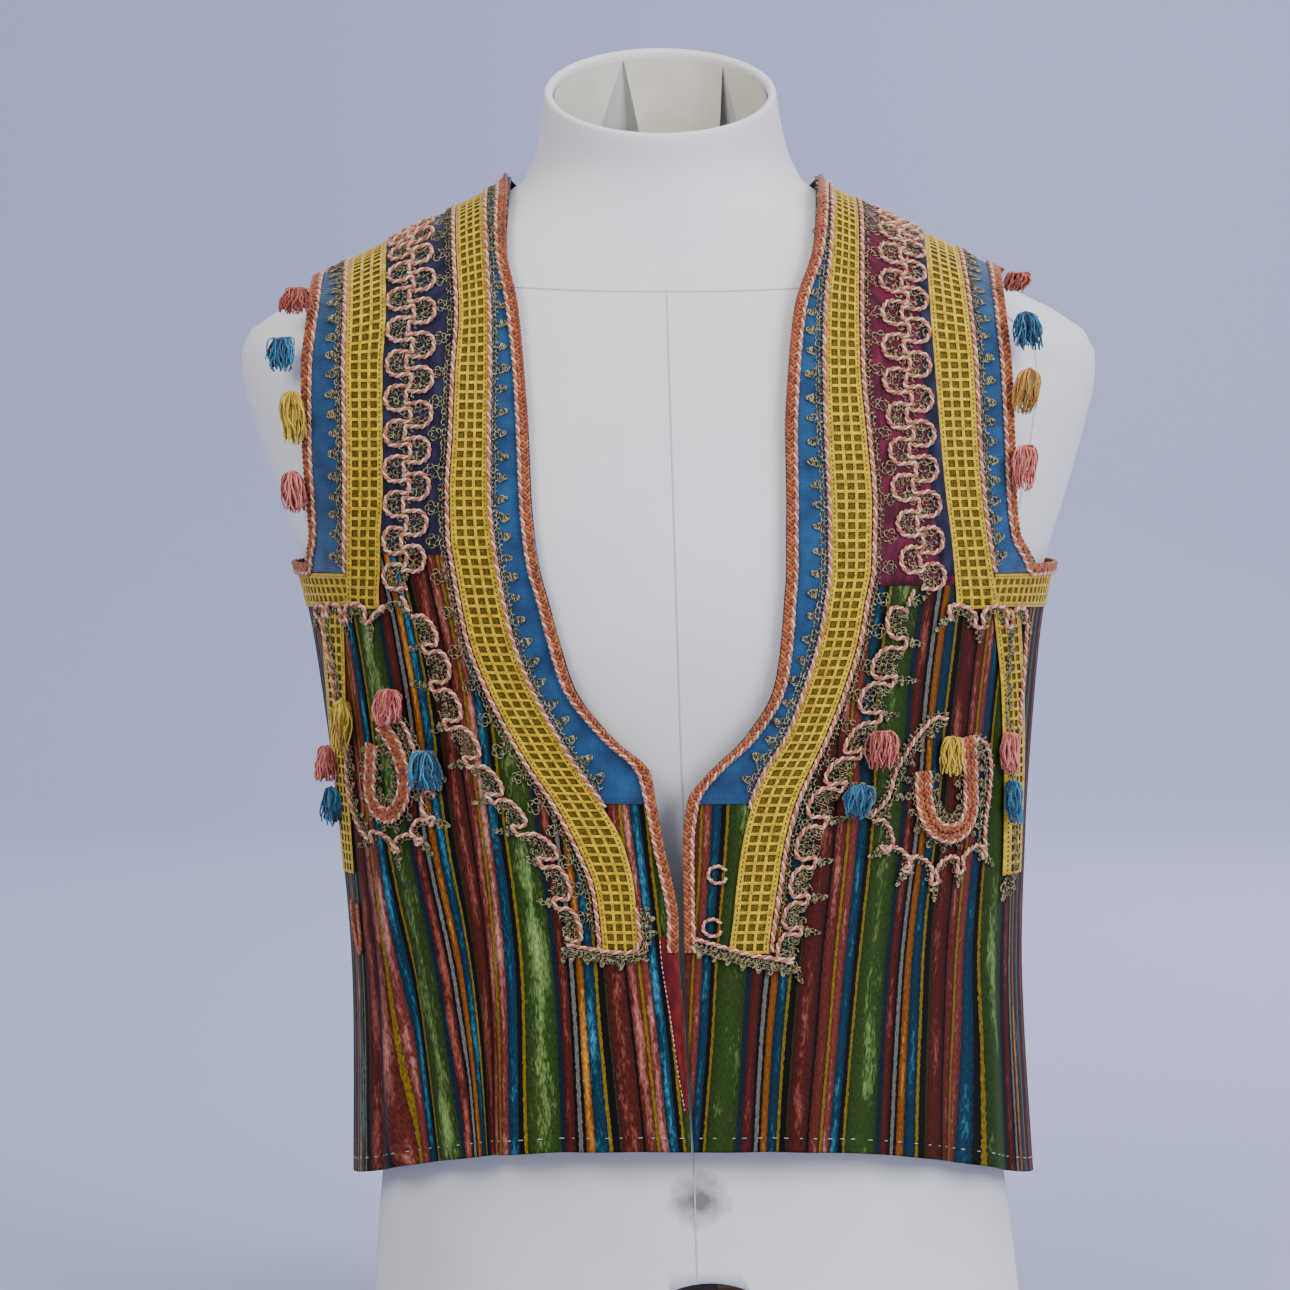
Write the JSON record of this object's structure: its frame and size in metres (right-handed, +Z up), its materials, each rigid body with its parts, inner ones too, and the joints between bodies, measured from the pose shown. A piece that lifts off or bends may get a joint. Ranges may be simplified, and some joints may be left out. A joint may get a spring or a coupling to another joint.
{
  "type": "embroidered velvet vest on dress form",
  "caption": "Waist-length sleeveless velvet folk vest with lace, ribbon and braid trim, open at a deep neckline, worn by a limbless linen dress form that stands on its flat foot.",
  "frame": {"origin": "centre of the bounding box at the floor, under the form's foot", "axes": "+Z up, +X towards the side seen on the right from the front, -Y towards the front of the vest"},
  "size_m": [0.3994, 0.2254, 0.6087],
  "materials": {
    "form_linen": "matt white linen over a smooth hard shell",
    "board_wood": "plain sanded board",
    "dark_wood": "dark brown stained wood, satin",
    "tan_wood": "tan wood, plain",
    "striped_velvet": "silk velvet in narrow stripes of green, teal, brick, black and yellow",
    "yellow_ribbon": "openwork cotton ribbon",
    "blue_cotton": "plain woven blue cotton",
    "metal_lace": "tarnished metal-thread lace with twisted cord",
    "orange_braid": "plaited silk braid",
    "navy_velvet": "dark blue velvet",
    "burgundy_velvet": "deep red velvet",
    "rust_silk": "floss silk",
    "blue_silk": "floss silk",
    "pink_silk": "floss silk",
    "yellow_silk": "floss silk",
    "ochre_silk": "floss silk"
  },
  "bodies": {
    "root": {"dress_form": "form_linen", "base_board": "board_wood", "block_dark": "dark_wood", "block_tan": "tan_wood", "vest_back": "striped_velvet", "vest_front_left": "striped_velvet", "vest_front_right": "striped_velvet", "neck_ribbon_left": "yellow_ribbon", "arm_ribbon_left": "yellow_ribbon", "side_ribbon_left": "yellow_ribbon", "neck_band_left": "blue_cotton", "arm_band_left": "blue_cotton", "front_braid_left": "orange_braid", "arm_braid_left": "orange_braid", "arm_braid_back_left": "orange_braid", "chest_ground_left": "navy_velvet", "serpentine_left": "metal_lace", "scallops_left": "metal_lace", "underarm_scallops_left": "metal_lace", "pocket_left": "orange_braid", "pocket_cage_left": "metal_lace", "neck_ribbon_right": "yellow_ribbon", "arm_ribbon_right": "yellow_ribbon", "side_ribbon_right": "yellow_ribbon", "neck_band_right": "blue_cotton", "arm_band_right": "blue_cotton", "front_braid_right": "orange_braid", "arm_braid_right": "orange_braid", "arm_braid_back_right": "orange_braid", "chest_ground_right": "burgundy_velvet", "serpentine_right": "metal_lace", "scallops_right": "metal_lace", "underarm_scallops_right": "metal_lace", "pocket_right": "orange_braid", "pocket_cage_right": "metal_lace", "neck_braid_back": "orange_braid", "tassel_pocket_left_yellow": "yellow_silk", "tassel_pocket_left_pink_in": "pink_silk", "tassel_pocket_left_blue_in": "blue_silk", "tassel_pocket_left_pink_out": "pink_silk", "tassel_pocket_left_blue_out": "blue_silk", "tassel_pocket_right_yellow": "yellow_silk", "tassel_pocket_right_pink_in": "pink_silk", "tassel_pocket_right_blue_in": "blue_silk", "tassel_pocket_right_pink_out": "pink_silk", "tassel_pocket_right_blue_out": "blue_silk", "tassel_arm_left_rust": "rust_silk", "tassel_arm_left_blue": "blue_silk", "tassel_arm_left_yellow": "yellow_silk", "tassel_arm_left_pink": "pink_silk", "tassel_arm_right_rust": "rust_silk", "tassel_arm_right_blue": "blue_silk", "tassel_arm_right_ochre": "ochre_silk", "tassel_arm_right_pink": "pink_silk", "button_loop_upper": "orange_braid", "button_loop_lower": "orange_braid"}
  },
  "joints": []
}
